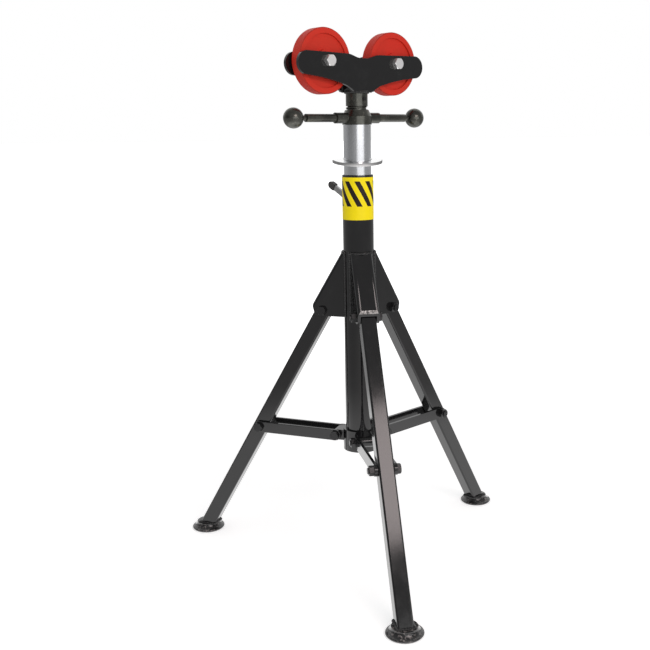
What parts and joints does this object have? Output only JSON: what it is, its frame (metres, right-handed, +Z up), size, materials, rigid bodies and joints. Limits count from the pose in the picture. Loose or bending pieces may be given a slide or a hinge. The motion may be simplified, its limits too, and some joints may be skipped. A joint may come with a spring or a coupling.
{
  "type": "pipe jack stand",
  "caption": "Folding tripod pipe stand with a sliding mast, a screw jack with turning bars, a mast lock and a roller head.",
  "frame": {"origin": "middle of the footprint's bounding box, on the floor", "axes": "+Z up along the mast, -Y towards the front leg, +X to the right seen from the front"},
  "size_m": [0.5794, 0.5096, 0.876],
  "materials": {
    "black_paint": "satin black paint over welded steel",
    "zinc": "bright zinc plating",
    "band": "yellow printed wrap",
    "dark_steel": "oiled dark steel",
    "red_wheel": "red enamel",
    "bright_steel": "bare bright steel",
    "bronze": "plain bearing bronze",
    "grip": "dipped black grip"
  },
  "bodies": {
    "column": {"outer_tube": "black_paint", "stop_ring": "black_paint", "wrap_band": "band", "leg_bracket_1": "black_paint", "leg_bracket_2": "black_paint", "leg_bracket_3": "black_paint", "leg_pivot_bolts": "dark_steel", "leg_pivot_nuts": "dark_steel", "lock_housing": "black_paint", "lock_pins": "bright_steel", "lock_spring": "bright_steel"},
    "slider": {"slider_collar": "black_paint", "slider_bolts": "dark_steel", "slider_nuts": "dark_steel"},
    "mast": {"inner_tube": "zinc"},
    "handle": {"turning_nut": "dark_steel", "handle_bar_1": "dark_steel", "handle_bar_2": "dark_steel", "handle_ball_1": "dark_steel", "handle_ball_2": "dark_steel"},
    "screw": {"jack_screw": "dark_steel", "screw_stop": "dark_steel"},
    "head": {"head_stem": "black_paint", "head_set_screw": "bright_steel", "saddle_block": "black_paint", "front_head_plate": "black_paint", "rear_head_plate": "black_paint", "axle_bolt_1": "zinc", "axle_bolt_2": "zinc", "axle_nuts": "zinc"},
    "wheel_1": {"roller_wheel_1": "red_wheel", "wheel_bush_1": "bronze"},
    "wheel_2": {"roller_wheel_2": "red_wheel", "wheel_bush_2": "bronze"},
    "lock_lever": {"lock_lever": "zinc", "lever_grip": "grip"},
    "lock_plate": {"lock_plate": "zinc"},
    "push_rod": {"push_rod": "bright_steel"},
    "leg_1": {"leg_tube_1": "black_paint", "leg_foot_1": "black_paint", "leg_bush_1": "dark_steel"},
    "arm_1": {"brace_arm_1": "black_paint", "brace_end_bolts_1": "dark_steel"},
    "leg_2": {"leg_tube_2": "black_paint", "leg_foot_2": "black_paint", "leg_bush_2": "dark_steel"},
    "arm_2": {"brace_arm_2": "black_paint", "brace_end_bolts_2": "dark_steel"},
    "leg_3": {"leg_tube_3": "black_paint", "leg_foot_3": "black_paint", "leg_bush_3": "dark_steel"},
    "arm_3": {"brace_arm_3": "black_paint", "brace_end_bolts_3": "dark_steel"}
  },
  "joints": [
    {"name": "collar_slide", "type": "slide", "parent": "column", "child": "slider", "axis": [0, 0, 1], "range_m": [0, 0.10639]},
    {"name": "leg_fold_1", "type": "hinge", "parent": "column", "child": "leg_1", "pos_m": [0, 0.01525, 0.425], "axis": [1, 0, 0], "range_deg": [0, 24]},
    {"name": "leg_fold_2", "type": "hinge", "parent": "column", "child": "leg_2", "pos_m": [0.05196, 0.10525, 0.425], "axis": [-0.5, 0.866, 0], "range_deg": [0, 24]},
    {"name": "leg_fold_3", "type": "hinge", "parent": "column", "child": "leg_3", "pos_m": [-0.05196, 0.10525, 0.425], "axis": [-0.5, -0.866, 0], "range_deg": [0, 24]},
    {"name": "arm_turn_1", "type": "hinge", "parent": "slider", "child": "arm_1", "pos_m": [0, 0.03425, 0.2073], "axis": [1, 0, 0], "range_deg": [0, 72.94]},
    {"name": "arm_turn_2", "type": "hinge", "parent": "slider", "child": "arm_2", "pos_m": [0.03551, 0.09575, 0.2073], "axis": [-0.5, 0.866, 0], "range_deg": [0, 72.94]},
    {"name": "arm_turn_3", "type": "hinge", "parent": "slider", "child": "arm_3", "pos_m": [-0.03551, 0.09575, 0.2073], "axis": [-0.5, -0.866, 0], "range_deg": [0, 72.94]},
    {"name": "mast_slide", "type": "slide", "parent": "column", "child": "mast", "axis": [0, 0, 1], "range_m": [-0.039, 0.372]},
    {"name": "handle_turn", "type": "hinge", "parent": "mast", "child": "handle", "pos_m": [0, 0.07525, 0.74015], "axis": [0, 0, 1], "range_deg": [-311, 6462]},
    {"name": "screw_lift", "type": "slide", "parent": "mast", "child": "screw", "axis": [0, 0, 1], "range_m": [-0.0055, 0.114]},
    {"name": "head_swivel", "type": "hinge", "parent": "screw", "child": "head", "pos_m": [0, 0.07525, 0.7588], "axis": [0, 0, 1], "continuous": true},
    {"name": "wheel_turn_1", "type": "hinge", "parent": "head", "child": "wheel_1", "pos_m": [-0.06152, 0.04185, 0.826], "axis": [-0.4772, 0.8788, 0], "continuous": true},
    {"name": "wheel_turn_2", "type": "hinge", "parent": "head", "child": "wheel_2", "pos_m": [0.06152, 0.10865, 0.826], "axis": [-0.4772, 0.8788, 0], "continuous": true},
    {"name": "lever_press", "type": "hinge", "parent": "column", "child": "lock_lever", "pos_m": [0.00342, 0.12413, 0.6], "axis": [-0.9976, 0.0698, 0], "range_deg": [0, 11], "stiffness_Nm_per_rad": 2, "springref_deg": -14.32},
    {"name": "lock_plate_tilt", "type": "hinge", "parent": "column", "child": "lock_plate", "pos_m": [0.00363, 0.12712, 0.68027], "axis": [-0.9976, 0.0698, 0], "range_deg": [0, 8.01], "deforming": ["lock_spring"]},
    {"name": "rod_lift", "type": "slide", "parent": "column", "child": "push_rod", "axis": [0, 0, 1], "range_m": [0, 0.00196]}
  ],
  "couplings": [
    {"joint": "leg_fold_1", "follows": "collar_slide", "rad_per_m": 3.9372},
    {"joint": "leg_fold_2", "follows": "collar_slide", "rad_per_m": 3.9372},
    {"joint": "leg_fold_3", "follows": "collar_slide", "rad_per_m": 3.9372},
    {"joint": "arm_turn_1", "follows": "collar_slide", "rad_per_m": 11.966},
    {"joint": "arm_turn_2", "follows": "collar_slide", "rad_per_m": 11.966},
    {"joint": "arm_turn_3", "follows": "collar_slide", "rad_per_m": 11.966},
    {"joint": "screw_lift", "follows": "handle_turn", "m_per_rad": 0.0010106},
    {"joint": "lock_plate_tilt", "follows": "lever_press", "ratio": 0.72727},
    {"joint": "rod_lift", "follows": "lever_press", "m_per_rad": 0.01}
  ]
}
